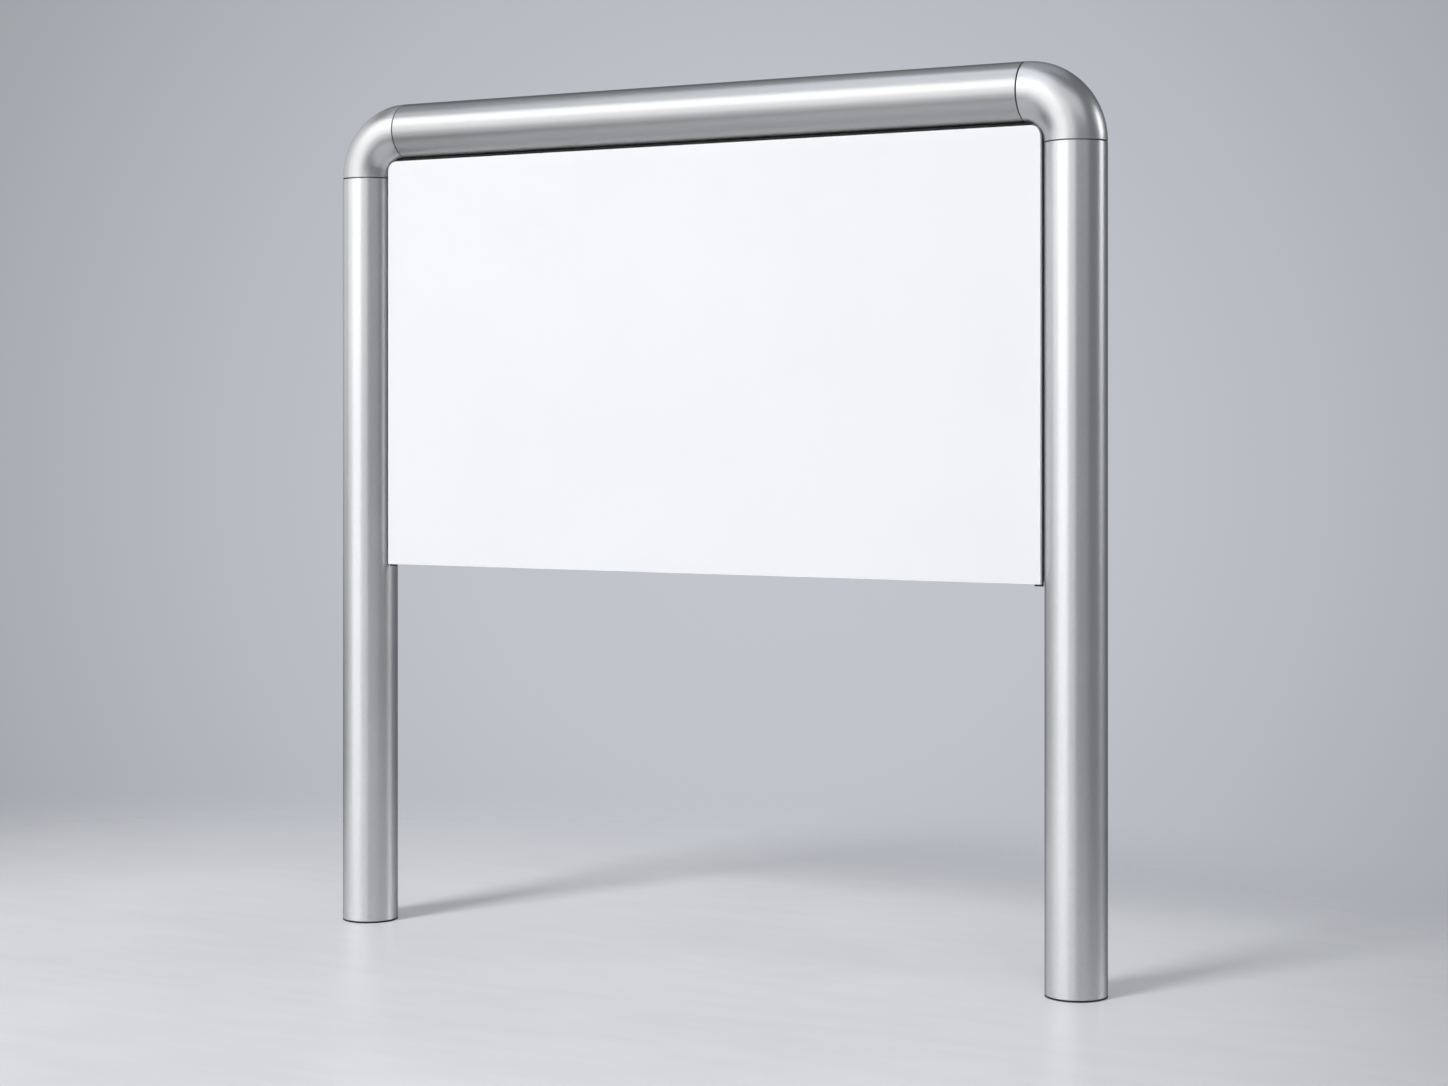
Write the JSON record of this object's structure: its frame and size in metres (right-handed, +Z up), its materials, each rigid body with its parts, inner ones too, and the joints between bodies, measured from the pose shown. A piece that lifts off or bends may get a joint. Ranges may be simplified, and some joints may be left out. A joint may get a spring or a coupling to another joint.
{
  "type": "post-mounted sign frame",
  "caption": "Free-standing round-tube sign frame with cast elbows and a white face panel that snaps onto clip rails between the posts.",
  "frame": {"origin": "on the floor, midway between the posts, in the plane of the tubes' axes: the centre of the bounding box's base", "axes": "+X to the right as seen from the front, -Y towards the front of the sign, +Z up"},
  "size_m": [1.126, 0.076, 1.132],
  "materials": {
    "tube_aluminium": "satin, finely brushed along the tube",
    "cast_aluminium": "satin, blasted and anodised casting",
    "rail_aluminium": "mill-finish extrusion",
    "panel_white": "plain matte white sheet",
    "gasket_black": "matte black rubber strip",
    "nylon_black": "moulded black nylon",
    "stainless_steel": "turned stainless steel",
    "zinc_steel": "bright zinc plate",
    "spring_steel": "drawn wire",
    "brass": "turned brass"
  },
  "bodies": {
    "frame": {"left_post": "tube_aluminium", "right_post": "tube_aluminium", "cross_tube": "tube_aluminium", "left_elbow": "cast_aluminium", "right_elbow": "cast_aluminium", "left_elbow_screws": "stainless_steel", "right_elbow_screws": "stainless_steel", "left_foot_plug": "nylon_black", "right_foot_plug": "nylon_black", "left_foot_insert": "brass", "right_foot_insert": "brass", "left_side_rail": "rail_aluminium", "right_side_rail": "rail_aluminium", "top_rail": "rail_aluminium", "bottom_rail": "rail_aluminium", "top_left_corner_bracket": "rail_aluminium", "top_right_corner_bracket": "rail_aluminium", "bottom_left_joint_plate": "rail_aluminium", "bottom_right_joint_plate": "rail_aluminium", "corner_screws": "zinc_steel", "rail_screws": "zinc_steel", "rail_rivet_nuts": "zinc_steel", "edge_gasket": "gasket_black", "bottom_gasket": "gasket_black", "clip_sockets": "nylon_black", "clip_springs": "spring_steel"},
    "panel": {"face_panel": "panel_white", "snap_studs": "stainless_steel"}
  },
  "joints": [
    {"name": "panel_snap", "type": "slide", "parent": "frame", "child": "panel", "axis": [0, -1, 0], "range_m": [0, 0.012], "deforming": ["clip_springs"]}
  ]
}
